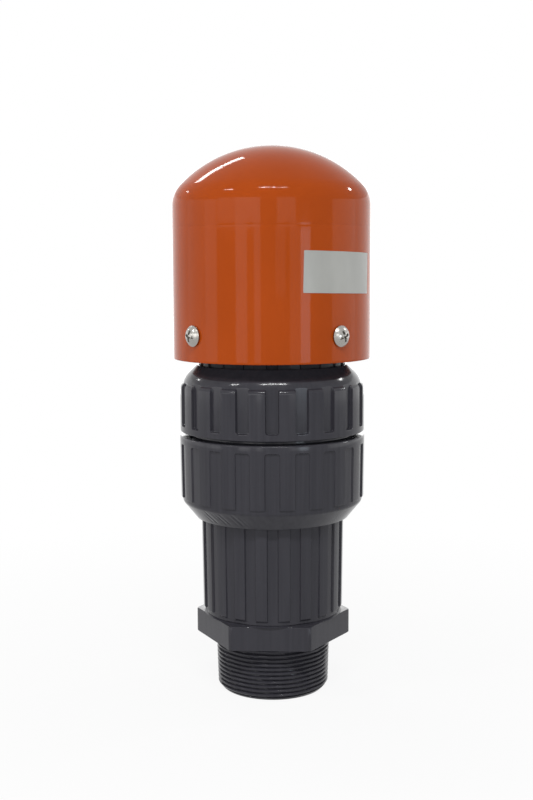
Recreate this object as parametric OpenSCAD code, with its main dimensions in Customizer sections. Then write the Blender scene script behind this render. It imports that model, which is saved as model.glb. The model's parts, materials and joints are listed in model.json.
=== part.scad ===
// Air release valve with a threaded inlet, a true-union body and a rain hood.
// The frame's origin is the centre of the thread's end face, with +Z up the valve's axis.

/* [Inlet thread] */
// Diameter over the thread crests at the gauge plane (2 in taper pipe thread)
thread_gauge_d = 59.6; // [58:0.1:61]
// Distance of the gauge plane from the small end
thread_gauge_l = 15.9; // [14:0.1:18]
// Length over which the diameter grows by one unit of length
thread_taper = 16; // [12:1:24]
// Length of the threaded end
thread_l = 28.5; // [24:0.5:34]
// Length of the bevel at the small end
thread_bevel_l = 2.6; // [1:0.1:4]
// Width of the bevel at the small end
thread_bevel_w = 2.1; // [1:0.1:2.6]
// Diameter of the waterway
bore_d = 49; // [44:0.5:51]

/* [Hexagon] */
// Width across the flats
hex_af = 71; // [69:0.5:78]
// Height of the hexagon
hex_h = 12.6; // [9:0.1:18]
// Height of the turned bevel on the corners
hex_bevel_h = 0.4; // [0.3:0.1:2]
// Turn of the hexagon about the axis
hex_turn = -2.6; // [-30:0.1:30]

/* [Adapter socket] */
// Diameter over the ribs at the mouth
socket_od = 75.1; // [73:0.1:78]
// How much the radius shrinks from the mouth to the foot
socket_draft = 0.6; // [0:0.1:1]
// Length from the hexagon to the mouth
socket_l = 52.1; // [46:0.1:60]
// Height of the plain collar above the hexagon
socket_collar = 3.4; // [2:0.1:6]
// Outside diameter of the pipe size that the socket takes
pipe_od = 60.3; // [59:0.1:61]
// Depth of the socket
socket_depth = 38.6; // [34:0.1:42]

/* [Ribs] */
// Number of ribs round each moulded piece
rib_count = 20; // [12:1:24]
// Depth of the grooves on the union nut
nut_groove_h = 1.8; // [0.8:0.1:2.2]
// Width of the grooves on the union nut
nut_groove_w = 6.5; // [4:0.1:8]
// Depth of the grooves on the body
body_groove_h = 0.8; // [0.4:0.1:1.6]
// Width of the grooves on the body
body_groove_w = 7.4; // [4:0.1:9]
// Depth of the grooves on the adapter's socket and the neck
socket_groove_h = 1.5; // [0.8:0.1:2]
// Width of the grooves on the adapter's socket and the neck
socket_groove_w = 5.5; // [3:0.1:6.5]
// Radius of the corners where a groove ends
groove_round = 1.2; // [0.5:0.1:2]
// Height of the step from the ribs' lower ends to the body's cone
rib_step_h = 1.2; // [1:0.1:4]

/* [Body] */
// Diameter over the body's top rim
body_od = 96.9; // [94:0.1:102]
// How much the radius shrinks from the rim to the cone
body_draft = 0.35; // [0:0.05:0.8]
// Height from the lip to the top of the rim
body_h = 42.6; // [38:0.1:60]
// Height of the plain rim
rim_h = 4; // [2:0.1:8]
// Diameter of the cone at the lip
lip_d = 81; // [77:0.1:82]
// Angle between the cone and the axis
cone_angle = 40.3; // [36:0.1:46]
// Radius that blends the cone into the ribbed wall
cone_blend = 3; // [2:0.5:10]
// Thickness of the chamber's floor above the lip
floor_h = 3.8; // [3:0.1:8]
// Gap between the spigot's end and the stop in its socket
spigot_gap_l = 0.6; // [0.2:0.1:4]

/* [Union] */
// Width of the ledge from the body's rim in to the union thread
rim_w = 5.85; // [5.5:0.05:6.5]
// Wall between the union thread's crests and the float chamber
union_wall = 5.6; // [5.2:0.1:7]
// Height of the union thread above the rim
union_l = 19.2; // [17:0.1:24]
// How far the nut's ribs stay inside the body's rim
nut_inset_w = 0.25; // [0:0.05:0.8]
// Gap between the body's rim and the nut
nut_gap = 2; // [0.5:0.1:3]
// Height of the nut
nut_h = 34.7; // [32:0.1:46]
// Height of the nut's plain collar
nut_collar = 3.5; // [2:0.1:7]
// Height of the shoulder's round, from its widest point to the nut's top
shoulder_h = 13; // [11:0.1:13.6]
// Radius of the shoulder's round
shoulder_r = 13.5; // [12:0.5:15]
// Step from the ribs in to the widest point of the round
shoulder_step_w = 1; // [0.5:0.1:1.5]
// Height of the nut's top above the ribs
rib_drop_h = 9.1; // [8:0.1:10]
// Height of the bevel on the ribs' upper ends
rib_bevel_h = 1; // [0.5:0.1:1.5]
// Width of the bevel on the nut's lower edge
nut_bevel_w = 0.6; // [0.3:0.1:1.5]
// Depth of the union thread, which is drawn over its crests
union_thread_h = 1.2; // [0.8:0.1:1.6]
// Thickness of the flange that the nut clamps
flange_h = 7; // [5:0.1:9]

/* [Vent neck] */
// Width of the ledge from the union thread in to the neck
ledge_w = 4.6; // [4.2:0.1:6]
// Height of the neck above the flange
neck_l = 52; // [48:0.5:70]
// Height of the neck's ribbed part
neck_rib_l = 18; // [14:0.5:20]
// Wall of the neck inside the hood
neck_wall = 7.8; // [6:0.1:9]
// Width of the shelf between the neck's bore and the vent seat
shelf_w = 5.2; // [4:0.1:8]
// Height of the seat bore above the flange's lower face
seat_l = 21; // [12:0.5:24]

/* [Hood] */
// How far the hood's wall stands out past the body's rim
hood_over_w = 2.95; // [1.5:0.05:6]
// Height from the rim to the crown
hood_h = 109.1; // [100:0.1:130]
// Wall of the hood
hood_wall = 5.5; // [3:0.1:6]
// Radius of the crown
crown_r = 65.6; // [62:0.1:80]
// Radius of the knuckle between wall and crown
knuckle_r = 15.6; // [10:0.1:24]
// Height of the gap between the nut's top and the hood's rim
vent_h = 3.3; // [2:0.1:12]
// Width of the ring-shaped vent between the neck and the hood
vent_w = 7.9; // [6:0.1:9]
// Width of the bevel on the hood's rim
hood_bevel_w = 0.8; // [0.3:0.1:1.4]
// Height of the screws above the hood's rim
screw_h = 13.2; // [10:0.1:18]
// Turn of the screws from the diagonals
screw_turn = -4; // [-20:1:20]

/* [Hood screws] */
// Diameter of the screw
screw_d = 4.8; // [4:0.1:6]
// Length of the screw under its head
screw_l = 18.5; // [16:0.1:19.5]
// Diameter of the head
head_d = 10.5; // [8:0.1:12]
// Height of the head
head_h = 3.4; // [2.4:0.1:4.5]
// Outside diameter of the spacers
spacer_d = 9; // [7.5:0.1:12]

/* [Float] */
// Travel from open to closed
float_travel_l = 14; // [8:0.1:15]
// Diameter of the float
float_d = 60; // [56:0.5:64]
// Height of the float
float_h = 28; // [24:0.1:29]
// Radius of the float's upper and lower edges
float_round = 8; // [4:0.5:10]
// Wall of the float's shells
float_wall = 1.8; // [1.2:0.1:3]
// Thickness of the valve disc
disc_h = 5.4; // [4.5:0.1:6]
// Diameter of the valve disc
disc_d = 62; // [60:0.5:66]
// Width of the bevels on the valve disc
disc_bevel_w = 1; // [0.4:0.1:1.5]
// Diameter of the stem
stem_d = 8; // [6:0.1:9]
// Length of the stem below the float
stem_tail_l = 34; // [30:0.5:40]
// Length of the stem above the disc
stem_nose_l = 58; // [52:0.5:60]
// Diameter of the stem's shoulder under the float
stem_shoulder_d = 16; // [14:0.5:18]
// Height of the stem's shoulder
stem_shoulder_h = 2; // [1.5:0.1:3]
// Diameter of the washer under the stem nut
washer_d = 20; // [16:0.5:24]
// Thickness of the washer
washer_h = 1.5; // [1:0.1:2]
// Width of the stem nut across its flats
stem_nut_af = 13; // [12:0.5:16]
// Height of the stem nut
stem_nut_h = 6; // [4:0.1:7]

/* [Guides] */
// Height of the guide rings
guide_h = 5; // [4:0.1:6]
// Width of the guide rings
guide_w = 5; // [4:0.1:5]
// Width of the guide arms
arm_w = 4.5; // [3:0.1:7]
// Number of arms on each guide
arm_count = 4; // [3:1:6]
// Outside diameter of the guide hubs
hub_d = 18; // [16:0.5:20]
// Height of the guide hubs
hub_h = 10; // [7:0.1:12]
// Wall of the guide bushes
bush_wall = 2; // [1.5:0.1:2.4]
// Thickness of the bush flanges
bush_flange_h = 1.5; // [1:0.1:2.5]
// Thickness of the retaining ring
clip_h = 1.8; // [1.2:0.1:2.4]
// How far the retaining ring reaches into the wall
clip_bite_w = 1.4; // [0.8:0.1:2]
// How far the retaining ring stands out of the wall
clip_stand_w = 2.6; // [1.5:0.1:4]
// Angle left open in the retaining ring
clip_gap = 30; // [15:1:60]

/* [Seals] */
// Section of the flange O-ring
flange_ring_d = 2.6; // [2:0.1:3]
// Squeeze of the flange O-ring
flange_squeeze_h = 0.6; // [0.3:0.1:0.8]
// Section of the disc O-ring
disc_ring_d = 3.6; // [3:0.1:4]
// How far the disc O-ring stands out of the disc
disc_ring_stand_h = 0.8; // [0.4:0.1:1.2]

/* [Clearances] */
// Radial play of cemented and pressed-in pieces
seat_play = 0.05; // [0.02:0.01:0.15]
// Radial play of the running stem
run_play = 0.08; // [0.04:0.01:0.1]
// Radial play of the nut on the union thread
thread_play = 0.4; // [0.2:0.05:0.6]
// Play between pieces that only rest on each other
rest_play = 0.3; // [0.1:0.05:0.5]
// Play along the axis of pieces that turn or snap in
slip_play = 0.1; // [0.05:0.05:0.2]

/* [Hidden] */
$fn = 96;
screw_count = 4;
cut = 1; // how far a cutting tool reaches past the face that it leaves
pvc_grey = [0.26, 0.26, 0.28];
hood_orange = [0.70, 0.29, 0.10];
steel = [0.75, 0.75, 0.74];
rubber_black = [0.08, 0.08, 0.08];
pp_white = [0.86, 0.86, 0.82];

// Levels, from the thread's end upwards
hex_z = thread_l;
socket_z = hex_z + hex_h;
lip_z = socket_z + socket_l;
floor_z = lip_z + floor_h;
rim_z = lip_z + body_h;
flange_z = rim_z + union_l;
neck_z = flange_z + flange_h;
neck_top = neck_z + neck_l;
shelf_z = flange_z + seat_l;
nut_z = rim_z + nut_gap;
nut_top = nut_z + nut_h;
hood_z = nut_top + vent_h;
hood_top = hood_z + hood_h;
screw_z = hood_z + screw_h;
disc_top = flange_z - rest_play - disc_ring_stand_h - float_travel_l;
disc_z = disc_top - disc_h;
float_z = disc_z - float_h;
hub_z = float_z - stem_shoulder_h - rest_play - bush_flange_h - hub_h;
clip_z = floor_z + guide_h + slip_play;
groove_bottom = nut_z + nut_collar;
shoulder_z = nut_top - shoulder_h;
rib_top = nut_top - rib_drop_h;

// Lengths and radii
spigot_l = socket_depth - spigot_gap_l;
socket_r = socket_od / 2;
bore_r = bore_d / 2;
union_r = body_od / 2 - rim_w;
chamber_r = union_r - union_wall;
hood_r = body_od / 2 + hood_over_w;
neck_r = union_r - ledge_w;
chimney_r = hood_r - hood_wall - vent_w;
stem_r = stem_d / 2;
float_r = float_d / 2;
neck_bore_r = chimney_r - neck_wall;
seat_r = neck_bore_r - shelf_w;
spigot_r = pipe_od / 2 - seat_play;
pipe_r = pipe_od / 2 + seat_play;
bush_r = stem_r + run_play + bush_wall;
spacer_bore = screw_d / 2 + 2 * seat_play;
disc_ring_r = (seat_r + disc_d / 2 - disc_ring_stand_h) / 2;
flange_ring_r = (chamber_r + union_r - union_thread_h) / 2;
body_wall_r = body_od / 2 - body_draft;
crown_z = hood_top - crown_r;
knuckle_z = crown_z + sqrt(pow(crown_r - knuckle_r, 2) - pow(hood_r - knuckle_r, 2));
knuckle_angle = atan2(knuckle_z - crown_z, hood_r - knuckle_r);

// Points on an arc about a centre, from one angle to another
function arc(centre, r, from, to, steps = 8) =
    [for (i = [0:steps]) let (a = from + (to - from) * i / steps) centre + r * [cos(a), sin(a)]];

// All points of a list but the first
function after(points) = [for (i = [1:len(points) - 1]) points[i]];

// Radius of the thread's crest cone at a height
function crest_r(z) = (thread_gauge_d + (z - thread_gauge_l) / thread_taper) / 2;

module revolve(points) {
    rotate_extrude() polygon(points);
}

module tube(outer, inner, z, h) {
    translate([0, 0, z]) difference() {
        cylinder(r = outer, h = h);
        translate([0, 0, -cut]) cylinder(r = inner, h = h + 2 * cut);
    }
}

module rod(r, z, h) {
    translate([0, 0, z]) cylinder(r = r, h = h);
}

// Upright grooves round a wall whose radius changes from its lower to its upper end.
// Their corners are rounded at an end that stops inside the wall.
module grooves(lower_r, upper_r, z, h, w, depth, round_top = true, round_foot = true) {
    lean = atan2(upper_r - lower_r, h);
    inset = w / 2 - groove_round;
    foot = round_foot ? groove_round : 0;
    top = round_top ? groove_round : 0;
    round_levels = concat(round_foot ? [foot] : [], round_top ? [h - top] : []);
    for (i = [0:rib_count - 1])
        rotate([0, 0, 360 * (i / rib_count) - 90])
            translate([lower_r - depth, 0, z])
                rotate([0, lean, 0]) rotate([90, 0, 90]) linear_extrude(depth + 2 * cut) {
                    translate([-w / 2, foot]) square([w, h - foot - top]);
                    translate([-inset, 0]) square([2 * inset, h]);
                    for (x = [-inset, inset], y = round_levels) translate([x, y]) circle(r = groove_round);
                }
}

// Male adapter: taper-threaded end, hexagon and ribbed socket with a stop shoulder
module male_adapter() {
    foot_r = socket_r - socket_draft;
    corner_r = hex_af / sqrt(3);
    color(pvc_grey) difference() {
        union() {
            revolve([[0, 0], [crest_r(0) - thread_bevel_w, 0], [crest_r(thread_bevel_l), thread_bevel_l],
                [crest_r(hex_z), hex_z], [crest_r(hex_z), hex_z + cut], [0, hex_z + cut]]);
            intersection() {
                rotate([0, 0, hex_turn]) translate([0, 0, hex_z]) cylinder(r = corner_r, h = hex_h, $fn = 6);
                revolve([[0, hex_z], [corner_r - 2 * hex_bevel_h, hex_z], [corner_r, hex_z + hex_bevel_h],
                    [corner_r, socket_z - hex_bevel_h], [corner_r - 2 * hex_bevel_h, socket_z],
                    [0, socket_z]]);
            }
            difference() {
                revolve([[0, socket_z - cut], [foot_r - socket_groove_h, socket_z - cut],
                    [foot_r - socket_groove_h, socket_z + socket_collar - socket_groove_h],
                    [foot_r, socket_z + socket_collar], [socket_r, lip_z], [0, lip_z]]);
                grooves(foot_r, socket_r, socket_z + socket_collar - socket_groove_h,
                    lip_z - socket_z - socket_collar + socket_groove_h + cut,
                    socket_groove_w, socket_groove_h, false, false);
            }
        }
        rod(bore_r, -cut, lip_z + 2 * cut);
        rod(pipe_r, lip_z - socket_depth, socket_depth + cut);
    }
}

// Body: cemented spigot, cone, ribbed float chamber and union thread, drawn over its crests
module body() {
    base_r = body_wall_r - body_groove_h;
    blend_r = base_r - cone_blend;
    cone_r = blend_r + cone_blend * cos(cone_angle);
    blend_z = lip_z + (cone_r - lip_d / 2) / tan(cone_angle) + cone_blend * sin(cone_angle);
    rib_z = blend_z + rib_step_h;
    color(pvc_grey) difference() {
        revolve(concat([[0, lip_z - spigot_l], [spigot_r, lip_z - spigot_l], [spigot_r, lip_z]],
            [[lip_d / 2, lip_z]],
            arc([blend_r, blend_z], cone_blend, -cone_angle, 0),
            [[base_r, rib_z], [body_wall_r, rib_z], [body_od / 2, rim_z - rim_h], [body_od / 2, rim_z],
                [union_r, rim_z], [union_r, flange_z], [0, flange_z]]));
        grooves(body_wall_r, body_od / 2, rib_z - cut, rim_z - rim_h - rib_z + cut,
            body_groove_w, body_groove_h, true, false);
        rod(bore_r, lip_z - spigot_l - cut, spigot_l + floor_h + 2 * cut);
        rod(chamber_r, floor_z, flange_z - floor_z + cut);
        tube(chamber_r + clip_bite_w + seat_play, chamber_r - cut, clip_z - seat_play,
            clip_h + 2 * seat_play);
        tube(flange_ring_r + flange_ring_d / 2 + seat_play, flange_ring_r - flange_ring_d / 2 - seat_play,
            flange_z - flange_ring_d + flange_squeeze_h, flange_ring_d);
    }
}

// Union nut: ribbed grip, domed shoulder and inner lip that pulls the flange down
module union_nut() {
    nut_r = body_od / 2 - nut_inset_w;
    base_r = nut_r - shoulder_step_w;
    round_c = [base_r - shoulder_r, shoulder_z];
    rib_angle = asin((rib_top - shoulder_z) / shoulder_r);
    round_end = round_c + shoulder_r * [cos(45), sin(45)];
    color(pvc_grey) difference() {
        revolve(concat([[0, nut_z], [nut_r - nut_bevel_w, nut_z], [nut_r, nut_z + nut_bevel_w],
            [nut_r, rib_top - rib_bevel_h]], arc(round_c, shoulder_r, rib_angle, 45),
            [[round_end.x - (nut_top - round_end.y), nut_top], [0, nut_top]]));
        grooves(nut_r, nut_r, groove_bottom, nut_top - groove_bottom, nut_groove_w, nut_groove_h, false);
        rod(union_r + thread_play, nut_z - cut, neck_z + slip_play - nut_z + cut);
        rod(neck_r + thread_play, nut_z, nut_h + cut);
    }
}

// Vent neck: flange under the nut, ribbed neck, seat bore and the socket that the upper guide sits in.
// Above the nut it follows the hood, so that the vent keeps its width.
module vent_neck() {
    color(pvc_grey) difference() {
        union() {
            rod(union_r - thread_play, flange_z, flange_h);
            difference() {
                revolve([[0, flange_z], [neck_r, flange_z], [neck_r, nut_top], [chimney_r, hood_z],
                    [chimney_r, neck_top], [0, neck_top]]);
                grooves(neck_r, neck_r, neck_z + socket_groove_h, neck_rib_l,
                    socket_groove_w, socket_groove_h);
            }
        }
        rod(seat_r, flange_z - cut, seat_l + 2 * cut);
        rod(neck_bore_r, shelf_z, neck_top - shelf_z + cut);
        at_screws() rod(screw_d / 2 + seat_play, hood_r - screw_l - cut, screw_l);
    }
}

// Hood: straight wall with a dished crown, open below
module hood() {
    inner_r = hood_r - hood_wall;
    color(hood_orange) difference() {
        revolve(concat([[inner_r + hood_bevel_w, hood_z], [hood_r - hood_bevel_w, hood_z],
                [hood_r, hood_z + hood_bevel_w]],
            arc([hood_r - knuckle_r, knuckle_z], knuckle_r, 0, knuckle_angle),
            after(arc([0, crown_z], crown_r, knuckle_angle, 90, 14)),
            arc([0, crown_z], crown_r - hood_wall, 90, knuckle_angle, 14),
            after(arc([hood_r - knuckle_r, knuckle_z], knuckle_r - hood_wall, knuckle_angle, 0)),
            [[inner_r, hood_z + hood_bevel_w]]));
        at_screws() rod(spacer_bore, inner_r - cut, hood_wall + 2 * cut);
    }
}

// Places a piece that is drawn along +Z on each screw's axis, pointing outwards
module at_screws() {
    for (i = [0:screw_count - 1])
        rotate([0, 0, 360 * ((i + 0.5) / screw_count) + screw_turn])
            translate([0, 0, screw_z]) rotate([0, 90, 0]) children();
}

// Pan-head screws with a cross recess
module hood_screws() {
    head_r = head_d / 2;
    edge_h = head_h / 4;
    dome_h = head_h - edge_h;
    dome_r = (head_r * head_r + dome_h * dome_h) / (2 * dome_h);
    dome_c = [0, hood_r + head_h - dome_r];
    recess_w = head_d / 9;
    color(steel) at_screws() difference() {
        union() {
            revolve(concat([[0, hood_r], [head_r, hood_r]],
                arc(dome_c, dome_r, acos(head_r / dome_r), 90)));
            revolve([[0, hood_r - screw_l], [screw_d / 4, hood_r - screw_l],
                [screw_d / 2, hood_r - screw_l + screw_d / 3], [screw_d / 2, hood_r + cut / 2],
                [0, hood_r + cut / 2]]);
        }
        for (turn = [0, 90])
            rotate([0, 0, turn]) translate([-recess_w / 2, -head_d / 4, hood_r + head_h / 3])
                cube([recess_w, head_d / 2, head_h]);
    }
}

// Spacer sleeves, with ends that follow the neck and the hood's inner wall
module hood_spacers() {
    color(pvc_grey) intersection() {
        at_screws() tube(spacer_d / 2, spacer_bore, chimney_r - 2 * cut, hood_r - chimney_r);
        tube(hood_r - hood_wall, chimney_r, screw_z - spacer_d, 2 * spacer_d);
    }
}

// O-ring in the body's top face, drawn squeezed flat by the flange
module flange_o_ring() {
    squeezed_h = flange_ring_d - flange_squeeze_h;
    color(rubber_black) rotate_extrude() translate([flange_ring_r, flange_z - squeezed_h / 2])
        intersection() {
            circle(d = flange_ring_d);
            square([2 * flange_ring_d, squeezed_h], center = true);
        }
}

// Spoked ring with a hub that takes a flanged bush
module guide(ring_r, ring_z, hub_foot) {
    difference() {
        union() {
            tube(ring_r, ring_r - guide_w, ring_z, guide_h);
            intersection() {
                for (i = [0:arm_count - 1])
                    rotate([0, 0, 360 * i / arm_count])
                        translate([0, -arm_w / 2, ring_z]) cube([ring_r, arm_w, guide_h]);
                rod(ring_r - guide_w / 2, ring_z, guide_h);
            }
            rod(hub_d / 2, hub_foot, hub_h);
        }
        rod(bush_r + seat_play, hub_foot - cut, hub_h + 2 * cut);
    }
}

// Flanged sleeve bush in a guide's hub
module bush(hub_foot) {
    difference() {
        union() {
            rod(bush_r, hub_foot, hub_h + bush_flange_h);
            rod(hub_d / 2, hub_foot + hub_h, bush_flange_h);
        }
        rod(stem_r + run_play, hub_foot - cut, hub_h + bush_flange_h + 2 * cut);
    }
}

// Lower guide on the chamber's floor
module lower_guide() {
    color(pvc_grey) guide(chamber_r - seat_play, floor_z, hub_z);
}

module lower_guide_bush() {
    color(pp_white) bush(hub_z);
}

// Open retaining ring sprung into the chamber wall above the lower guide
module guide_retaining_ring() {
    color(steel) translate([0, 0, clip_z]) rotate([0, 0, clip_gap / 2]) rotate_extrude(angle = 360 - clip_gap)
        translate([chamber_r - clip_stand_w, 0]) square([clip_stand_w + clip_bite_w, clip_h]);
}

// Upper guide on the shelf of the neck's socket
module upper_guide() {
    color(pvc_grey) guide(neck_bore_r - seat_play, shelf_z, shelf_z);
}

module upper_guide_bush() {
    color(pp_white) bush(shelf_z);
}

// Stem with a shoulder that carries the float
module float_stem() {
    tip = stem_r / 3;
    tail_z = float_z - stem_tail_l;
    nose_z = disc_top + stem_nose_l;
    color(pp_white) union() {
        revolve([[0, tail_z], [stem_r - tip, tail_z], [stem_r, tail_z + tip],
            [stem_r, nose_z - tip], [stem_r - tip, nose_z], [0, nose_z]]);
        rod(stem_shoulder_d / 2, float_z - stem_shoulder_h, stem_shoulder_h);
    }
}

// Half of the hollow float, drawn with its closed end at the bottom
module float_shell(half_h) {
    flat_r = float_r - float_round;
    inner_round = float_round - float_wall;
    post_r = stem_r + run_play + float_wall;
    difference() {
        union() {
            difference() {
                revolve(concat([[0, 0]], arc([flat_r, float_round], float_round, -90, 0),
                    [[float_r, half_h], [0, half_h]]));
                revolve(concat([[0, float_wall]], arc([flat_r, float_round], inner_round, -90, 0),
                    [[float_r - float_wall, half_h + cut], [0, half_h + cut]]));
            }
            rod(post_r, 0, half_h);
        }
        rod(stem_r + run_play, -cut, half_h + 2 * cut);
    }
}

module float_lower_shell() {
    color(pp_white) translate([0, 0, float_z]) float_shell(float_h / 2);
}

module float_upper_shell() {
    color(pp_white) translate([0, 0, disc_z]) mirror([0, 0, 1]) float_shell(float_h / 2);
}

// Valve disc with the groove that holds its O-ring
module valve_disc() {
    disc_r = disc_d / 2;
    groove_r = disc_ring_d / 2 + seat_play;
    color(pp_white) difference() {
        revolve([[0, disc_z], [disc_r - disc_bevel_w, disc_z], [disc_r, disc_z + disc_bevel_w],
            [disc_r, disc_top - disc_bevel_w], [disc_r - disc_bevel_w, disc_top], [0, disc_top]]);
        rod(stem_r + run_play, disc_z - cut, disc_h + 2 * cut);
        tube(disc_ring_r + groove_r, disc_ring_r - groove_r, disc_top + disc_ring_stand_h - disc_ring_d,
            disc_ring_d);
    }
}

// O-ring that closes the vent seat
module disc_o_ring() {
    color(rubber_black) rotate_extrude()
        translate([disc_ring_r, disc_top + disc_ring_stand_h - disc_ring_d / 2]) circle(d = disc_ring_d);
}

module stem_washer() {
    color(steel) tube(washer_d / 2, stem_r + run_play, disc_top, washer_h);
}

module stem_nut() {
    color(steel) translate([0, 0, disc_top + washer_h]) difference() {
        cylinder(r = stem_nut_af / sqrt(3), h = stem_nut_h, $fn = 6);
        rod(stem_r + run_play, -cut, stem_nut_h + 2 * cut);
    }
}

male_adapter();
body();
union_nut();
vent_neck();
hood();
hood_screws();
hood_spacers();
flange_o_ring();
lower_guide();
lower_guide_bush();
guide_retaining_ring();
upper_guide();
upper_guide_bush();
float_stem();
float_lower_shell();
float_upper_shell();
valve_disc();
disc_o_ring();
stem_washer();
stem_nut();
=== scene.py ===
"""Looks of the air release valve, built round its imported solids.

Profiles are given in millimetres as (radius, height) points about the valve's axis and turned into
meshes in metres. Angles are measured about +Z from +X, and the camera stands on the -Y side.
"""

import json
import math

import bpy
import numpy as np
from mathutils import Matrix, Vector


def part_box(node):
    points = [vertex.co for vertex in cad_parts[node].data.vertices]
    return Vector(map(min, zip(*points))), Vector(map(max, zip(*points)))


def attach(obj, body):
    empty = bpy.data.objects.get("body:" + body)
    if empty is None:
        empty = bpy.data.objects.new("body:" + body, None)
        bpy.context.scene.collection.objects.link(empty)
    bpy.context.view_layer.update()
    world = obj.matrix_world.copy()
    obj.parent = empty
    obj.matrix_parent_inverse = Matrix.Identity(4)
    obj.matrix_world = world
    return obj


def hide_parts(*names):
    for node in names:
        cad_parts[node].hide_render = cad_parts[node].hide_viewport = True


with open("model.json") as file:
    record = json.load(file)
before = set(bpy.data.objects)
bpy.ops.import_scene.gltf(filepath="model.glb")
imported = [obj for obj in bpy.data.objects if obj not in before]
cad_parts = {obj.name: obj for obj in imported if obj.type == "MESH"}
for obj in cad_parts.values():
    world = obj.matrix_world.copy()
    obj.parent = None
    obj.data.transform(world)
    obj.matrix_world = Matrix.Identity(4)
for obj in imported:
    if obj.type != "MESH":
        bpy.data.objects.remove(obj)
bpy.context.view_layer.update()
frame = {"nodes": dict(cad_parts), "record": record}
MM = 0.001

# Levels and radii that are read from the solids
LIP_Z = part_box("male_adapter")[1].z / MM
BODY_LOW, BODY_HIGH = (corner.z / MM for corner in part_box("body"))
BODY_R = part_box("body")[1].x / MM
NUT_LOW, NUT_HIGH = (corner.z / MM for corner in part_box("union_nut"))
NUT_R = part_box("union_nut")[1].x / MM
NECK_LOW, NECK_HIGH = (corner.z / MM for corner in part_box("vent_neck"))
HOOD_LOW, HOOD_HIGH = (corner.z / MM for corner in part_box("hood"))
HOOD_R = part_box("hood")[1].x / MM
SCREW_Z = (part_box("hood_screws")[0].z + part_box("hood_screws")[1].z) / 2 / MM

# Sizes that the solids share
RIBS = 20
NUT_GROOVE = (6.5, 1.8)
BODY_GROOVE = (7.4, 0.8)
GROOVE_ROUND = 1.2
BORE_R = 24.5
PIPE_R = 30.2
SPIGOT_R = 30.1
SOCKET_STOP = 54.6
THREAD_L = 28.5
THREAD_GAUGE_R = 29.8
THREAD_GAUGE_L = 15.9
THREAD_TAPER = 32
THREAD_BEVEL = (2.1, 2.6)
HEX_AF = 71.0
HEX_TOP = 41.1
HEX_TURN = math.radians(-2.6)
HEX_BEVEL = 0.4
SOCKET_R = 37.55
SOCKET_FOOT_R = 36.95
SOCKET_FOOT = 44.5
LIP_R = 40.5
RIM_LOW = 131.8
RIM_HIGH = 135.8
BODY_WALL_R = BODY_R - 0.35
CONE_ANGLE = math.radians(40.3)
CONE_BLEND = 3.0
RIB_STEP = 1.2
CHAMBER_R = 37.0
FLOOR_Z = 97.0
UNION_R = 42.6
UNION_DEPTH = 1.2
UNION_PLAY = 0.4
RING_GROOVE = (37.85, 40.55, 2.0)
NUT_COLLAR = 3.5
RIB_TOP = 163.4
SHOULDER_Z = 159.5
SHOULDER_R = 13.5
SHOULDER_STEP = 1.0
FLANGE_TOP = 162.0
NECK_R = 38.0
NECK_RIBS = (163.5, 181.5)
SEAT_R = 25.0
SHELF_Z = 176.0
HOOD_WALL = 5.5
CROWN_R = 65.6
KNUCKLE_R = 15.6
SCREW_TURN = math.radians(-4)
SCREW_D = 4.8
SCREW_L = 18.5
HEAD_D = 10.5
HEAD_H = 3.4

# Sizes that the looks alone have. The socket's grooves are shallower here, and the nut's ribs rounder.
SOCKET_GROOVE = (5.5, 1.0)
GROOVE_EDGE = 0.18
HEX_ROUND = 0.25
THREAD_PITCH = 2.309
THREAD_DEPTH = 1.25
THREAD_ROWS = 9
UNION_PITCH = 4.5
UNION_RIDGE = 1.5
UNION_ROWS = 12
RIB_ROUND = 3.0
WITNESS_Z = 243.0
WITNESS_DEPTH = 0.05
RECESS_DEPTH = 1.9


def smooth_step(low, high, x):
    t = np.clip((x - low) / (high - low), 0, 1)
    return t * t * (3 - 2 * t)


def arc(centre, radius, start, end, steps=8):
    """Points of an arc in a profile, with angles in degrees."""
    angles = np.radians(np.linspace(start, end, steps + 1))
    return [(centre[0] + radius * math.cos(a), centre[1] + radius * math.sin(a)) for a in angles]


def rounded(points, steps=4):
    """A stretch of profile whose corners (r, z, radius) are rounded. A corner with no radius stays sharp."""
    made = []
    for i, corner in enumerate(points):
        here = Vector(corner[:2])
        radius = corner[2] if len(corner) > 2 else 0
        if radius <= 0:
            made.append(tuple(here))
            continue
        back = (Vector(points[i - 1][:2]) - here).normalized()
        ahead = (Vector(points[(i + 1) % len(points)][:2]) - here).normalized()
        half = math.acos(max(-1, min(1, back.dot(ahead)))) / 2
        centre = here + (back + ahead).normalized() * (radius / math.sin(half))
        start = here + back * (radius / math.tan(half)) - centre
        sweep = start.angle_signed(here + ahead * (radius / math.tan(half)) - centre)
        for k in range(steps + 1):
            turned = Matrix.Rotation(-sweep * k / steps, 2) @ start
            made.append(tuple(centre + turned))
    return made


def refined(rows, spans, closed=True):
    """The rows of a profile, with extra ones where a span (low z, high z, least r, step) asks for them."""
    made = []
    pairs = list(zip(rows, rows[1:] + rows[:1])) if closed else list(zip(rows, rows[1:]))
    for a, b in pairs:
        cuts = {0.0, 1.0}
        dz = b[1] - a[1]
        for low, high, least_r, step in spans:
            if abs(dz) < 1e-9 or (a[0] + b[0]) / 2 < least_r:
                continue
            t0, t1 = sorted(((low - a[1]) / dz, (high - a[1]) / dz))
            t0, t1 = max(t0, 0.0), min(t1, 1.0)
            if t1 > t0:
                count = max(1, math.ceil((t1 - t0) * abs(dz) / step))
                cuts.update(t0 + (t1 - t0) * k / count for k in range(count + 1))
        kept = []
        for t in sorted(cuts):
            if not kept or t - kept[-1] > 1e-6:
                kept.append(t)
        made.extend((a[0] + (b[0] - a[0]) * t, a[1] + dz * t) for t in kept if t < 1 - 1e-6)
    if not closed:
        made.append(rows[-1])
    return made


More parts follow.
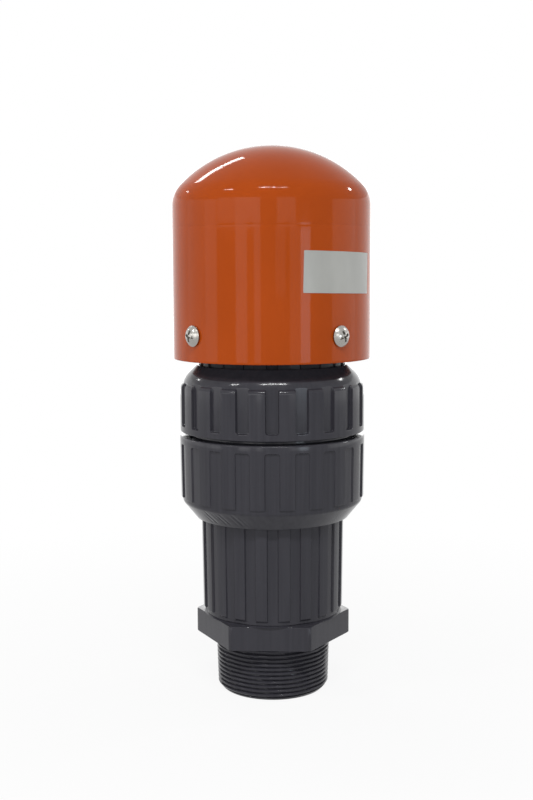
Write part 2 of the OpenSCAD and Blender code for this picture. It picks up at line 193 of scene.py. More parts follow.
def ribbed_angles(radius, width, extra=()):
    """Angles of a grid's columns, close together at the walls of each groove."""
    pitch = 2 * math.pi / RIBS
    wall_columns = (-0.8, -0.45, -0.22, -0.1, 0.0, 0.1, 0.22, 0.45, 0.8)
    walls = [math.asin((width / 2 + d) / radius) for d in wall_columns]
    steps = [walls[0] / 2, *walls, (walls[-1] + pitch / 2) / 2]
    local = [0.0, *steps, *(-s for s in steps), pitch / 2]
    angles = {round((i * pitch - math.pi / 2 + s) % (2 * math.pi), 9) for i in range(RIBS) for s in local}
    return np.array(sorted(angles | {round(a % (2 * math.pi), 9) for a in extra}))


def from_groove(theta):
    """Angle from the middle of the nearest groove."""
    pitch = 2 * math.pi / RIBS
    return (theta + math.pi / 2 + pitch / 2) % pitch - pitch / 2


def slot_distance(side, z, width, low, high):
    """Distance from the outline of an upright slot with rounded corners, which is negative inside it."""
    off_side = np.abs(side) - (width / 2 - GROOVE_ROUND)
    off_z = np.abs(z - (low + high) / 2) - ((high - low) / 2 - GROOVE_ROUND)
    beyond = np.hypot(np.maximum(off_side, 0), np.maximum(off_z, 0))
    return beyond + np.minimum(np.maximum(off_side, off_z), 0) - GROOVE_ROUND


def grooves(wall_r, low, high, groove):
    """Relief of flat-bottomed upright grooves, below a wall whose radius is given for each height."""
    width, depth = groove

    def relief(r, z, theta):
        off = from_groove(theta)
        distance = slot_distance(np.sin(off) * r, z, width, low, high)
        inside = 1 - smooth_step(-GROOVE_EDGE, GROOVE_EDGE, distance)
        floor = np.minimum(r, (wall_r(z) - depth) / np.cos(off))
        return (floor - r) * inside

    return relief


def helix(pitch, low, high, ridge, flank, fade, phase=0.0):
    """Height of a thread's ridge, from 0 at the root to 1 at the crest, which fades in from both ends."""

    def form(z, theta):
        turn = (z / pitch - theta / (2 * math.pi) + phase) % 1.0
        off = np.abs(turn - 0.5) * pitch
        crest = 1 - smooth_step(ridge / 2, ridge / 2 + flank, off)
        return crest, smooth_step(low, low + fade, z) * (1 - smooth_step(high - fade, high, z))

    return form


def build_mesh(name, points, faces, material, sharp=38):
    mesh = bpy.data.meshes.new(name)
    mesh.from_pydata((np.asarray(points) * MM).tolist(), [], faces)
    mesh.shade_smooth()
    mesh.set_sharp_from_angle(angle=math.radians(sharp))
    piece = bpy.data.objects.new(name, mesh)
    bpy.context.scene.collection.objects.link(piece)
    mesh.materials.append(material)
    return piece


def grid_faces(row_count, column_count, closed_rows):
    """Quads of a grid that closes round its columns, and round its rows too if asked."""
    last = row_count if closed_rows else row_count - 1
    i = np.arange(last)[:, None]
    j = np.arange(column_count)[None, :]
    i2, j2 = (i + 1) % row_count, (j + 1) % column_count
    here, above = i * column_count, i2 * column_count
    quads = np.stack([here + j, here + j2, above + j2, above + j], -1)
    return quads.reshape(-1, 4).tolist()


def lathe(name, rows, angles, material, reliefs=(), closed=True):
    """A turned piece whose rows (r, z) run up its outside. An open profile starts and ends on the axis."""
    inner = np.array(rows if closed else rows[1:-1], float)
    r, z, theta = inner[:, :1], inner[:, 1:], np.asarray(angles)[None, :]
    radius = r + sum((relief(r, z, theta) for relief in reliefs), np.zeros((1, 1)))
    x, y = radius * np.cos(theta), radius * np.sin(theta)
    points = np.stack([x, y, np.broadcast_to(z, x.shape)], -1).reshape(-1, 3).tolist()
    count, columns = len(inner), len(angles)
    faces = grid_faces(count, columns, closed)
    if not closed:
        points += [[0, 0, rows[0][1]], [0, 0, rows[-1][1]]]
        start, end = count * columns, count * columns + 1
        for j in range(columns):
            after = (j + 1) % columns
            faces.append((start, after, j))
            faces.append((end, (count - 1) * columns + j, (count - 1) * columns + after))
    return build_mesh(name, points, faces, material)


# Materials
def new_material(name, **sockets):
    material = bpy.data.materials.new(name)
    material.use_nodes = True
    shader = material.node_tree.nodes["Principled BSDF"]
    for key, value in sockets.items():
        shader.inputs[key.replace("_", " ")].default_value = value
    return material, material.node_tree, shader


def noise_factor(tree, scale, detail=3.0, stretch=(1, 1, 1)):
    coords = tree.nodes.new("ShaderNodeTexCoord")
    mapping = tree.nodes.new("ShaderNodeMapping")
    mapping.inputs["Scale"].default_value = stretch
    noise = tree.nodes.new("ShaderNodeTexNoise")
    noise.inputs["Scale"].default_value = scale
    noise.inputs["Detail"].default_value = detail
    tree.links.new(coords.outputs["Object"], mapping.inputs["Vector"])
    tree.links.new(mapping.outputs["Vector"], noise.inputs["Vector"])
    return noise.outputs["Fac"]


def ramp(tree, factor, low, high, low_at=0.35, high_at=0.65):
    node = tree.nodes.new("ShaderNodeValToRGB")
    node.color_ramp.elements[0].position = low_at
    node.color_ramp.elements[1].position = high_at
    node.color_ramp.elements[0].color = low
    node.color_ramp.elements[1].color = high
    tree.links.new(factor, node.inputs["Fac"])
    return node.outputs["Color"]


def spread(tree, factor, low, high, from_low=0.3, from_high=0.7):
    node = tree.nodes.new("ShaderNodeMapRange")
    node.inputs["From Min"].default_value = from_low
    node.inputs["From Max"].default_value = from_high
    node.inputs["To Min"].default_value = low
    node.inputs["To Max"].default_value = high
    tree.links.new(factor, node.inputs["Value"])
    return node.outputs["Result"]


def add_bump(tree, shader, factor, depth_mm):
    node = tree.nodes.new("ShaderNodeBump")
    node.inputs["Strength"].default_value = 1.0
    node.inputs["Distance"].default_value = depth_mm * MM
    tree.links.new(factor, node.inputs["Height"])
    tree.links.new(node.outputs["Normal"], shader.inputs["Normal"])


def plastic(name, low, high, roughness, gloss, flow_scale, flow_stretch, skin_scale, skin_mm):
    """Moulded plastic with faint flow marks in its colour, an uneven gloss and a moulded skin."""
    material, tree, shader = new_material(name, Specular_IOR_Level=gloss)
    flow = noise_factor(tree, flow_scale, 4, flow_stretch)
    tree.links.new(ramp(tree, flow, (*low, 1), (*high, 1)), shader.inputs["Base Color"])
    wear = noise_factor(tree, 160, 5)
    tree.links.new(spread(tree, wear, *roughness), shader.inputs["Roughness"])
    add_bump(tree, shader, noise_factor(tree, skin_scale, 2), skin_mm)
    return material


def metal(name, colour, roughness):
    material, tree, shader = new_material(name, Metallic=1.0)
    shader.inputs["Base Color"].default_value = (*colour, 1)
    grain = noise_factor(tree, 900, 3)
    tree.links.new(spread(tree, grain, *roughness), shader.inputs["Roughness"])
    add_bump(tree, shader, grain, 0.01)
    return material


STREAKS = (1, 1, 0.04)
CLOUDS = (1, 1, 0.5)
GREY = plastic(
    "grey_pvc", (0.0325, 0.0316, 0.0390), (0.0385, 0.0375, 0.0455),
    roughness=(0.10, 0.16), gloss=0.19, flow_scale=420, flow_stretch=STREAKS, skin_scale=900, skin_mm=0.0015)
ORANGE = plastic(
    "orange_pvc", (0.368, 0.0548, 0.0032), (0.398, 0.0602, 0.0044),
    roughness=(0.05, 0.08), gloss=0.09, flow_scale=42, flow_stretch=CLOUDS, skin_scale=55, skin_mm=0.0012)
STEEL = metal("stainless", (0.35, 0.337, 0.315), (0.20, 0.34))
# A darker, duller copy of the grey PVC for the vent neck: its darker colour is painted shade for the hood's
# shadow over the neck, and its gloss is lower.
SHADED_NECK_PVC = plastic(
    "neck_pvc_painted_shade", (0.018, 0.0175, 0.021), (0.022, 0.0215, 0.026),
    roughness=(0.22, 0.30), gloss=0.07, flow_scale=420, flow_stretch=STREAKS, skin_scale=900, skin_mm=0.0015)
RUBBER = plastic(
    "epdm", (0.010, 0.010, 0.010), (0.018, 0.018, 0.018),
    roughness=(0.55, 0.70), gloss=0.3, flow_scale=160, flow_stretch=CLOUDS, skin_scale=700, skin_mm=0.02)
NATURAL = plastic(
    "natural_pp", (0.60, 0.59, 0.54), (0.68, 0.67, 0.62),
    roughness=(0.38, 0.50), gloss=0.4, flow_scale=60, flow_stretch=CLOUDS, skin_scale=700, skin_mm=0.02)
STICKER = plastic(
    "blank_sticker", (0.355, 0.355, 0.334), (0.385, 0.385, 0.362),
    roughness=(0.30, 0.40), gloss=0.3, flow_scale=90, flow_stretch=CLOUDS, skin_scale=600, skin_mm=0.006)


# Male adapter
def adapter_piece():
    corner_r = HEX_AF / math.sqrt(3)
    corners = [HEX_TURN + math.radians(60 * k) for k in range(6)]
    near_corner = [math.radians(d) for d in (-2.4, -1.2, -0.6, -0.25, 0.0, 0.25, 0.6, 1.2, 2.4)]
    corner_columns = [corner + d for corner in corners for d in near_corner]
    angles = ribbed_angles(SOCKET_R, SOCKET_GROOVE[0], corner_columns)

    def crest(z):
        return THREAD_GAUGE_R + (z - THREAD_GAUGE_L) / THREAD_TAPER

    def wall_r(z):
        return SOCKET_FOOT_R + (z - SOCKET_FOOT) * (SOCKET_R - SOCKET_FOOT_R) / (LIP_Z - SOCKET_FOOT)

    def hexagon(r, z, theta):
        off = (theta - HEX_TURN + math.pi / 6) % (math.pi / 3) - math.pi / 6
        flat = HEX_AF / 2 / np.cos(math.pi / 6 - np.abs(off))
        corner_cut, corner_width, cap_cut = 0.5, 0.35, 0.3
        flat = flat - corner_cut * np.exp(-np.abs(off) * flat / corner_width)
        edge = np.minimum(z - THREAD_L, HEX_TOP - z)
        cap = corner_r - cap_cut - 2 * HEX_BEVEL * (1 - smooth_step(0, HEX_BEVEL, edge))
        inset = HEX_ROUND * (1 - np.sqrt(1 - (1 - np.clip(edge / HEX_ROUND, 0, 1)) ** 2))
        return np.where(r > corner_r - 1, np.minimum(flat, cap) - inset - corner_r, 0.0)

    turns = helix(THREAD_PITCH, low=0.6, high=THREAD_L - 1.2, ridge=0.9, flank=0.6, fade=1.4)

    def inlet_thread(r, z, theta):
        ridge, whole = turns(z, theta)
        outside = (z < THREAD_L - 0.4) & (r > BORE_R + 1.5)
        return np.where(outside, -THREAD_DEPTH * (1 - ridge) * whole, 0.0)

    hex_rows = [(corner_r, THREAD_L + d) for d in (0, 0.12, 0.25, 0.4)]
    hex_rows += [(corner_r, HEX_TOP - d) for d in (0.4, 0.25, 0.12, 0.05, 0)]
    hex_rows.append((corner_r - 0.3, HEX_TOP))
    foot_r = SOCKET_FOOT_R - SOCKET_GROOVE[1]
    bevel_w, bevel_l = THREAD_BEVEL
    profile = rounded([
        (BORE_R, 0, 0.3), (crest(0) - bevel_w, 0, 0.3), (crest(bevel_l), bevel_l, 0.5),
        (crest(THREAD_L), THREAD_L)])
    profile += hex_rows + [(foot_r + 0.7, HEX_TOP)]
    profile += rounded([
        (foot_r, HEX_TOP, 0.4), (foot_r, SOCKET_FOOT - SOCKET_GROOVE[1], 0.2),
        (SOCKET_FOOT_R, SOCKET_FOOT, 0.4), (SOCKET_R, LIP_Z, 0.5), (PIPE_R, LIP_Z, 0.5),
        (PIPE_R, SOCKET_STOP, 0), (BORE_R, SOCKET_STOP, 0.5)])
    outer_r = PIPE_R + 4.8
    profile = refined(profile, [
        (0.3, THREAD_L, BORE_R + 2.5, THREAD_PITCH / THREAD_ROWS),
        (SOCKET_FOOT - 2, SOCKET_FOOT + 1, outer_r, 0.25), (SOCKET_FOOT + 0.5, LIP_Z, outer_r, 6)])
    ribs = grooves(wall_r, HEX_TOP + 0.6, LIP_Z + 5, SOCKET_GROOVE)
    return lathe("male_adapter_moulding", profile, angles, GREY, [hexagon, inlet_thread, ribs])


# Body
def body_piece():
    base_r = BODY_WALL_R - BODY_GROOVE[1]
    blend_r = base_r - CONE_BLEND
    cone_r = blend_r + CONE_BLEND * math.cos(CONE_ANGLE)
    blend_z = LIP_Z + (cone_r - LIP_R) / math.tan(CONE_ANGLE) + CONE_BLEND * math.sin(CONE_ANGLE)
    rib_z = blend_z + RIB_STEP
    scuff_from, scuff_to = -0.90, -0.10
    scuff_columns = np.arange(scuff_from - 0.06, scuff_to + 0.06, 0.011) - math.pi / 2
    angles = ribbed_angles(BODY_R, BODY_GROOVE[0], scuff_columns)
    ring_in, ring_out, ring_depth = RING_GROOVE
    ring_z = BODY_HIGH - ring_depth
    profile = rounded([
        (BORE_R, BODY_LOW, 0.4), (SPIGOT_R, BODY_LOW, 1.0), (SPIGOT_R, LIP_Z, 0.2), (LIP_R, LIP_Z, 0.4)])
    profile += arc((blend_r, blend_z), CONE_BLEND, -math.degrees(CONE_ANGLE), 0, 10)
    profile += rounded([
        (base_r, rib_z, 0.15), (BODY_WALL_R, rib_z, 0.25), (BODY_R, RIM_LOW, 0), (BODY_R, RIM_HIGH, 0.8),
        (UNION_R, RIM_HIGH, 0.5), (UNION_R, BODY_HIGH, 0.5), (ring_out, BODY_HIGH, 0.2),
        (ring_out, ring_z, 0.2), (ring_in, ring_z, 0.2), (ring_in, BODY_HIGH, 0.2),
        (CHAMBER_R, BODY_HIGH, 0.4), (CHAMBER_R, FLOOR_Z, 0.8), (BORE_R, FLOOR_Z, 0.8)])
    outer_r = UNION_R + 2.4
    profile = refined(profile, [
        (rib_z, RIM_LOW, outer_r, 5), (RIM_LOW - GROOVE_ROUND - 0.6, RIM_LOW + 0.5, outer_r, 0.2),
        (LIP_Z, blend_z, LIP_R - 1.5, 0.6), (RIM_HIGH, BODY_HIGH, UNION_R - 0.6, UNION_PITCH / UNION_ROWS)])
    turns = helix(
        UNION_PITCH, low=RIM_HIGH + 0.8, high=BODY_HIGH + 4, ridge=UNION_RIDGE, flank=0.55, fade=2.5)

    def wall_r(z):
        return BODY_WALL_R + (z - rib_z) * (BODY_R - BODY_WALL_R) / (RIM_LOW - rib_z)

    def union_thread(r, z, theta):
        ridge, whole = turns(z, theta)
        outside = (r > UNION_R - 1) & (r < UNION_R + 0.2) & (z > RIM_HIGH + 0.4)
        return np.where(outside, -UNION_DEPTH * (1 - ridge) * whole, 0.0)

    def scuffs(r, z, theta):
        """Slanted scratches round the left of the cone."""
        pitch, slant, depth = 3.0, 0.64, 0.34
        front = (theta + math.pi / 2 + math.pi) % (2 * math.pi) - math.pi
        along = front * LIP_R + slant * (z - LIP_Z)
        wander = 1.3 * np.sin(along * 0.53) + 0.8 * np.sin(along * 1.27 + 1)
        line = (0.5 + 0.5 * np.sin(2 * math.pi * along / pitch + wander)) ** 3
        line = line * (0.2 + 0.8 * np.abs(np.sin(along * 0.37 + 0.4)))
        high = blend_z - 2.2 + 0.9 * np.sin(along * 1.7)
        on_cone = smooth_step(LIP_Z + 0.4, LIP_Z + 1.4, z) * (1 - smooth_step(high - 1.2, high, z))
        zone = smooth_step(scuff_from, scuff_from + 0.08, front)
        zone = zone * (1 - smooth_step(scuff_to - 0.2, scuff_to, front))
        return np.where((r > LIP_R - 1) & (z > LIP_Z), -depth * on_cone * zone * line, 0.0)

    ribs = grooves(wall_r, rib_z - 4, RIM_LOW, BODY_GROOVE)
    return lathe("body_moulding", profile, angles, GREY, [ribs, union_thread, scuffs])


# Union nut
def nut_piece():
    base_r = NUT_R - SHOULDER_STEP
    centre = (base_r - SHOULDER_R, SHOULDER_Z)
    cone_r, cone_z = (c + SHOULDER_R * math.sqrt(0.5) for c in centre)
    rib_angle = math.degrees(math.asin((RIB_TOP - SHOULDER_Z) / SHOULDER_R))
    bore_r = UNION_R + UNION_PLAY
    angles = ribbed_angles(NUT_R, NUT_GROOVE[0])
    shoulder = arc(centre, SHOULDER_R, rib_angle, 45, 12)
    rib_end = math.acos(1 - (NUT_R - shoulder[0][0]) / RIB_ROUND)
    rib_round = RIB_TOP - RIB_ROUND * math.sin(rib_end)
    profile = rounded([(bore_r, NUT_LOW, 0.4), (NUT_R, NUT_LOW, 0.7), (NUT_R, NUT_LOW + 1.5)])
    profile += arc((NUT_R - RIB_ROUND, rib_round), RIB_ROUND, 0, math.degrees(rib_end), 12)
    profile += shoulder[1:]
    profile += rounded([
        (cone_r - (NUT_HIGH - cone_z), NUT_HIGH, 0.5), (NECK_R + UNION_PLAY, NUT_HIGH, 0.3),
        (NECK_R + UNION_PLAY, FLANGE_TOP + 0.1, 0.3), (bore_r, FLANGE_TOP + 0.1, 0.2)])
    low = NUT_LOW + NUT_COLLAR
    thread_top = 155.5
    grooves_end = 165
    outer_r = UNION_R + 1.4
    profile = refined(profile, [
        (low - 0.5, low + GROOVE_ROUND + 0.6, outer_r, 0.2), (low, rib_round, outer_r, 5),
        (rib_round, grooves_end, outer_r, 0.25),
        (NUT_LOW, thread_top + 0.5, bore_r - 0.1, UNION_PITCH / UNION_ROWS)])
    turns = helix(
        UNION_PITCH, low=NUT_LOW + 0.8, high=thread_top, ridge=UNION_RIDGE, flank=0.45, fade=2.2, phase=0.5)

    def inner_thread(r, z, theta):
        ridge, whole = turns(z, theta)
        inside = (np.abs(r - bore_r) < 0.3) & (z > NUT_LOW + 0.3) & (z < thread_top + 0.5)
        return np.where(inside, -UNION_DEPTH * ridge * whole, 0.0)

    ribs = grooves(lambda z: NUT_R, low, NUT_HIGH + 5, NUT_GROOVE)
    return lathe("union_nut_moulding", profile, angles, GREY, [ribs, inner_thread])


# Vent neck
def neck_piece():
    angles = ribbed_angles(NECK_R, SOCKET_GROOVE[0])
    flange_r = UNION_R - UNION_PLAY
    profile = rounded([
        (SEAT_R, NECK_LOW, 0.4), (flange_r, NECK_LOW, 0.4), (flange_r, FLANGE_TOP, 0.5),
        (NECK_R, FLANGE_TOP, 0.5), (NECK_R, NECK_HIGH, 0.8), (PIPE_R, NECK_HIGH, 0.8), (PIPE_R, SHELF_Z, 0.3),
        (SEAT_R, SHELF_Z, 0.6)])
    end = GROOVE_ROUND + 0.6
    low, high = NECK_RIBS
    outer_r = NECK_R - 2
    profile = refined(profile, [
        (low - 0.5, low + end, outer_r, 0.3), (high - end, high + 0.5, outer_r, 0.3),
        (low, high, outer_r, 6)])
    ribs = grooves(lambda z: NECK_R, low, high, SOCKET_GROOVE)
    # The neck takes the darker copy of the grey PVC, whose colour is painted shade.
    return lathe("vent_neck_moulding", profile, angles, SHADED_NECK_PVC, [ribs])


# Hood
def hood_piece():
    inner_r = HOOD_R - HOOD_WALL
    crown_z = HOOD_HIGH - CROWN_R
    knuckle_r = HOOD_R - KNUCKLE_R
    knuckle_z = crown_z + math.sqrt((CROWN_R - KNUCKLE_R) ** 2 - knuckle_r**2)
    knuckle = (knuckle_r, knuckle_z)
    turn = math.degrees(math.atan2(knuckle_z - crown_z, knuckle_r))
    inside = arc((0, crown_z), CROWN_R - HOOD_WALL, 90, turn, 20)
    inside += arc(knuckle, KNUCKLE_R - HOOD_WALL, turn, 0, 12)[1:]
    rim = rounded([
        (inner_r, HOOD_LOW + 20), (inner_r, HOOD_LOW, 0.8), (HOOD_R, HOOD_LOW, 0.5),
        (HOOD_R, HOOD_LOW + 1.2), (HOOD_R, HOOD_LOW + 20)])
    line_r = HOOD_R - WITNESS_DEPTH
    line = [
        (HOOD_R, WITNESS_Z - 1.0), (HOOD_R, WITNESS_Z - 0.4), (line_r, WITNESS_Z - 0.1),
        (line_r, WITNESS_Z + 0.1), (HOOD_R, WITNESS_Z + 0.4), (HOOD_R, WITNESS_Z + 1.0),
        (HOOD_R, knuckle_z - 0.8)]
    outside = arc(knuckle, KNUCKLE_R, 0, turn, 16) + arc((0, crown_z), CROWN_R, turn, 90, 28)[1:]
    rows = inside + rim + line + outside
    rows[0], rows[-1] = (0.0, rows[0][1]), (0.0, rows[-1][1])
    rows = refined(rows, [(HOOD_LOW, knuckle_z, inner_r - 1, 8)], closed=False)
    angles = np.linspace(0, 2 * math.pi, 192, endpoint=False)
    return lathe("hood_moulding", rows, angles, ORANGE, closed=False)


# Screws
def screw_points():
    """Points and faces of one pan-head screw along +Z, with z = 0 under its head."""
    columns = 96
    head_r, shank_r = HEAD_D / 2, SCREW_D / 2
    edge = HEAD_H / 4
    dome = HEAD_H - edge
    dome_r = (head_r**2 + dome**2) / (2 * dome)
    reach, arm = HEAD_D * 0.27, HEAD_D / 9
    rhos = [*np.linspace(0.1, reach + 0.3, 34), *np.linspace(reach + 0.5, head_r * 0.97, 12)]
    top = [(rho, HEAD_H - dome_r + math.sqrt(dome_r**2 - rho**2)) for rho in rhos]
    side = [(head_r, edge * 1.05), (head_r, edge * 0.5), (head_r * 0.985, 0.12), (head_r * 0.95, 0.0)]
    shank = [(shank_r + 0.2, 0.0), (shank_r, -0.4), (shank_r, 1 - SCREW_L), (shank_r * 0.5, -SCREW_L)]
    rows = np.array(top + side + shank)[::-1]
    theta = np.linspace(0, 2 * math.pi, columns, endpoint=False)[None, :]
    x, y = rows[:, :1] * np.cos(theta), rows[:, :1] * np.sin(theta)
    one_arm = np.maximum(abs(x) - arm / 2, abs(y) - reach)
    other_arm = np.maximum(abs(y) - arm / 2, abs(x) - reach)
    cross = np.minimum(one_arm, other_arm)
    depth = RECESS_DEPTH * (1 - 0.5 * np.hypot(x, y) / reach) * (1 - smooth_step(-0.10, 0.10, cross))
    on_top = (rows[:, 1:] > edge * 1.1) & (rows[:, :1] < head_r * 0.98)
    z = np.broadcast_to(rows[:, 1:], x.shape) - np.where(on_top, depth, 0)
    points = np.stack([x, y, z], -1).reshape(-1, 3).tolist()
    faces = grid_faces(len(rows), columns, False)
    points += [[0, 0, -SCREW_L], [0, 0, HEAD_H - RECESS_DEPTH]]
    start, end = len(points) - 2, len(points) - 1
    last = (len(rows) - 1) * columns
    for j in range(columns):
        after = (j + 1) % columns
        faces.append((start, after, j))
        faces.append((end, last + j, last + after))
    return np.array(points), faces


def screw_pieces():
    points, faces = screw_points()
    made = []
    for i in range(4):
        turn = math.pi / 2 * (i + 0.5) + SCREW_TURN
        spin = Matrix.Rotation(turn, 3, "Z") @ Matrix.Rotation(math.pi / 2, 3, "Y")
        spin = spin @ Matrix.Rotation(math.radians(17 + 31 * i), 3, "Z")
        seat = Vector((HOOD_R * math.cos(turn), HOOD_R * math.sin(turn), SCREW_Z))
        placed = points @ np.array(spin).T + np.array(seat)
        made.append(build_mesh(f"hood_screw_{i + 1}", placed, faces, STEEL, 45))
    return made


# Blank sticker
def sticker_piece():
    start, end = (math.radians(d - 90) for d in (17.4, 69.6))
    low, high = 209.9, 230.3
    tilt = math.radians(-1.3)
    thickness, sunk, corner, rings, per_corner = 0.14, 0.05, 0.5, 14, 6
    middle, level = (start + end) / 2, (low + high) / 2
    half_w, half_h = (end - start) * HOOD_R / 2, (high - low) / 2
    outline = []
    for k, (sx, sz) in enumerate(((1, 1), (-1, 1), (-1, -1), (1, -1))):
        centre = (sx * (half_w - corner), sz * (half_h - corner))
        outline += arc(centre, corner, 90 * k, 90 * k + 90, per_corner)
    dense = []
    for a, b in zip(outline, outline[1:] + outline[:1]):
        count = max(1, round(math.dist(a, b) / 1.5))
        dense += [(a[0] + (b[0] - a[0]) * t / count, a[1] + (b[1] - a[1]) * t / count) for t in range(count)]
    flat = np.array(dense) @ np.array(Matrix.Rotation(tilt, 2)).T

    def on_hood(points, lift):
        angle = middle + points[:, 0] / HOOD_R
        radius = HOOD_R + lift
        return np.stack([radius * np.cos(angle), radius * np.sin(angle), level + points[:, 1]], -1)

    layers = [(k / rings, thickness) for k in range(1, rings)]
    layers += [(0.997, thickness), (1.0, thickness * 0.6), (1.0, -sunk)]
    points = [on_hood(flat * share, lift) for share, lift in layers]
    points += [on_hood(np.zeros((1, 2)), thickness), on_hood(np.zeros((1, 2)), -sunk)]
    count = len(flat)
    face_middle = len(layers) * count
    back = (len(layers) - 1) * count
    faces = [tuple(reversed(f)) for f in grid_faces(len(layers), count, False)]
    for j in range(count):
        after = (j + 1) % count
        faces.append((face_middle, j, after))
        faces.append((face_middle + 1, back + after, back + j))
    return build_mesh("blank_sticker", np.concatenate(points), faces, STICKER)


def place(piece, body, slot, *nodes):
    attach(piece, body)
    if nodes:
        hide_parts(*nodes)


place(adapter_piece(), "base", "grey_pvc", "male_adapter")
place(body_piece(), "base", "grey_pvc", "body")
place(nut_piece(), "nut", "grey_pvc", "union_nut")
place(neck_piece(), "top", "grey_pvc", "vent_neck")
place(hood_piece(), "top", "orange_pvc", "hood")
for screw in screw_pieces():
    place(screw, "top", "stainless", "hood_screws")
place(sticker_piece(), "top", "orange_pvc")

# The solids that stay take the finish of their slot
FINISHES = {"grey_pvc": GREY, "orange_pvc": ORANGE, "stainless": STEEL, "epdm": RUBBER, "natural_pp": NATURAL}
for entry in frame["record"]["subparts"]:
    node = frame["nodes"][entry["node"]]
    if not node.hide_render:
        node.data.materials.clear()
        node.data.materials.append(FINISHES[entry["material_slot"]])

# Camera, fitted to the rims of the photograph
LENS = 53.7
SENSOR_WIDTH = 36
CAMERA_BACK = 0.6247
CAMERA_HEIGHT = 0.2223
PITCH = math.radians(6.3)
YAW = math.radians(0.27)
ROLL = math.radians(-0.25)
camera_data = bpy.data.cameras.new("camera")
camera_data.lens = LENS
camera_data.sensor_width = SENSOR_WIDTH
camera = bpy.data.objects.new("camera", camera_data)
bpy.context.scene.collection.objects.link(camera)
camera.location = (0, -CAMERA_BACK, CAMERA_HEIGHT)
turn = Matrix.Rotation(YAW, 4, "Z") @ Matrix.Rotation(math.pi / 2 - PITCH, 4, "X")
turn = turn @ Matrix.Rotation(ROLL, 4, "Z")
camera.rotation_euler = turn.to_euler()
bpy.context.scene.camera = camera


# Stage
LAMP_AIM = Vector((0, 0, 0.2))
TUBE_DISTANCE = 2.5
PANEL_DISTANCE = 0.9
WALL_HEIGHTS = (0.06, 0.42)
LOWER_HEIGHTS = (0.075, 0.274)
UPPER_HEIGHTS = (0.274, 0.50)
FLOOR_HALF = 4.0
FLOOR_ALBEDO = 0.65
FLOOR_WHITE = (0.91, 1.0)
FLOOR_FADE = (0.05, 0.40)
WORLD_LEVEL = 0.08


def direction(azimuth, elevation=0.0):
    """Unit vector to a place round the valve. Azimuth turns from the camera's side to +X, in degrees."""
    a, e = math.radians(azimuth), math.radians(elevation)
    return Vector((math.cos(e) * math.sin(a), -math.cos(e) * math.cos(a), math.sin(e)))


def soft_lamp(name, middle, along, outward, size, radiance, colour=(1, 1, 1)):
    """A rectangular lamp that shines against its outward direction. It shows in reflections only."""
    data = bpy.data.lights.new(name, "AREA")
    data.shape = "RECTANGLE"
    data.size, data.size_y = size
    data.energy = radiance * math.pi * size[0] * size[1]
    data.color = colour
    side = (along - outward * along.dot(outward)).normalized()
    lamp = bpy.data.objects.new(name, data)
    axes = Matrix((side, outward.cross(side), outward)).transposed()
    lamp.matrix_world = Matrix.LocRotScale(middle, axes, None)
    lamp.visible_camera = False
    bpy.context.scene.collection.objects.link(lamp)


def tube(name, start, end, radiance, thickness):
    """A long lamp between two directions (azimuth, elevation) from the valve."""
    ends = [LAMP_AIM + direction(*angles) * TUBE_DISTANCE for angles in (start, end)]
    middle = (ends[0] + ends[1]) / 2
    along = ends[1] - ends[0]
    soft_lamp(name, middle, along, (middle - LAMP_AIM).normalized(), (along.length, thickness), radiance)


def panel(name, azimuths, heights, radiance, colour=(1, 1, 1)):
    """An upright lamp that stands round the valve."""
    outward = direction(sum(azimuths) / 2)
    width = 2 * PANEL_DISTANCE * math.tan(math.radians(azimuths[1] - azimuths[0]) / 2)
    middle = outward * PANEL_DISTANCE + Vector((0, 0, sum(heights) / 2))
    along = Vector((0, 0, 1)).cross(outward)
    soft_lamp(name, middle, along, outward, (width, heights[1] - heights[0]), radiance, colour)


def seen_ray(tree):
    """1 for what the camera sees straight, mirrored or through a clear piece, and 0 for other light."""
    path = tree.nodes.new("ShaderNodeLightPath")
    total = path.outputs["Is Camera Ray"]
    for kind in ("Is Glossy Ray", "Is Transmission Ray"):
        add = tree.nodes.new("ShaderNodeMath")
        add.operation = "ADD"
        add.use_clamp = True
        tree.links.new(total, add.inputs[0])
        tree.links.new(path.outputs[kind], add.inputs[1])
        total = add.outputs["Value"]
    return total


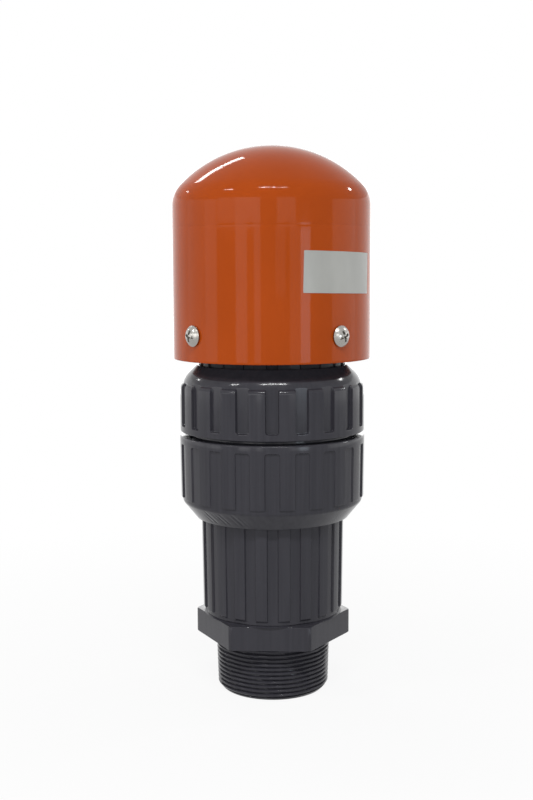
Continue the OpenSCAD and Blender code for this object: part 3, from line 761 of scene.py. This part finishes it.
def floor_piece():
    """White floor that keeps the object's shadow near it and runs into the white surroundings further off."""
    corners = [(x * FLOOR_HALF, y * FLOOR_HALF, 0) for x, y in ((-1, -1), (1, -1), (1, 1), (-1, 1))]
    mesh = bpy.data.meshes.new("floor")
    mesh.from_pydata(corners, [], [(0, 1, 2, 3)])
    floor = bpy.data.objects.new("floor", mesh)
    bpy.context.scene.collection.objects.link(floor)
    material, tree, shader = new_material("pale_floor", Roughness=0.9, Specular_IOR_Level=0.0)
    shader.inputs["Base Color"].default_value = (FLOOR_ALBEDO, FLOOR_ALBEDO, FLOOR_ALBEDO, 1)
    glow = tree.nodes.new("ShaderNodeEmission")
    coords = tree.nodes.new("ShaderNodeTexCoord")
    reach = tree.nodes.new("ShaderNodeVectorMath")
    reach.operation = "LENGTH"
    tree.links.new(coords.outputs["Object"], reach.inputs[0])
    white = spread(tree, reach.outputs["Value"], *FLOOR_WHITE, *FLOOR_FADE)
    share = tree.nodes.new("ShaderNodeMath")
    share.operation = "MULTIPLY"
    tree.links.new(seen_ray(tree), share.inputs[0])
    tree.links.new(white, share.inputs[1])
    mix = tree.nodes.new("ShaderNodeMixShader")
    tree.links.new(share.outputs["Value"], mix.inputs["Fac"])
    tree.links.new(shader.outputs["BSDF"], mix.inputs[1])
    tree.links.new(glow.outputs["Emission"], mix.inputs[2])
    tree.links.new(mix.outputs["Shader"], tree.nodes["Material Output"].inputs["Surface"])
    mesh.materials.append(material)


def white_world():
    world = bpy.data.worlds.new("studio")
    world.use_nodes = True
    tree = world.node_tree
    background = tree.nodes["Background"]
    background.inputs["Color"].default_value = (1, 1, 1, 1)
    level = spread(tree, seen_ray(tree), WORLD_LEVEL, 1.0, 0.0, 1.0)
    tree.links.new(level, background.inputs["Strength"])
    bpy.context.scene.world = world


floor_piece()
white_world()
tube("front_tube", (-19, 50), (23.5, 50), 175, 0.05)
tube("left_tube", (-63, 39), (-52, 43), 160, 0.04)
tube("left_spot", (-126, 25), (-121, 24), 30, 0.08)
tube("right_spot", (113, 29), (120, 31), 50, 0.15)
tube("back_tube", (-138, 37), (-152, 46), 17, 0.23)
tube("back_tube_end", (-152, 46), (-165, 47.5), 17, 0.18)
panel("rear_wall", (165, 195), WALL_HEIGHTS, 2.0)
panel("left_rear", (-165, -108), WALL_HEIGHTS, 0.4)
panel("left_wall_far", (-108, -79), WALL_HEIGHTS, 0.9)
panel("left_wall", (-79, -63), WALL_HEIGHTS, 1.8)
panel("left_door", (-40, -27), LOWER_HEIGHTS, 2.4)
panel("left_post", (-19, -12), LOWER_HEIGHTS, 2.0)
panel("middle_post", (4, 15), (0.19, LOWER_HEIGHTS[1]), 0.9)
panel("upper_left_far", (-62, -40), UPPER_HEIGHTS, 1.8)
panel("upper_left", (-40, -12), UPPER_HEIGHTS, 3.0)
panel("upper_right", (6, 26.5), UPPER_HEIGHTS, 2.0)
panel("window_side", (20, 32), LOWER_HEIGHTS, 1.2)
panel("window", (32, 43), LOWER_HEIGHTS, 6.0, (0.78, 0.9, 1.0))
panel("right_wall", (71, 108), WALL_HEIGHTS, 1.5)
panel("right_rear", (108, 165), WALL_HEIGHTS, 0.7)

bpy.context.scene.view_settings.view_transform = "Standard"
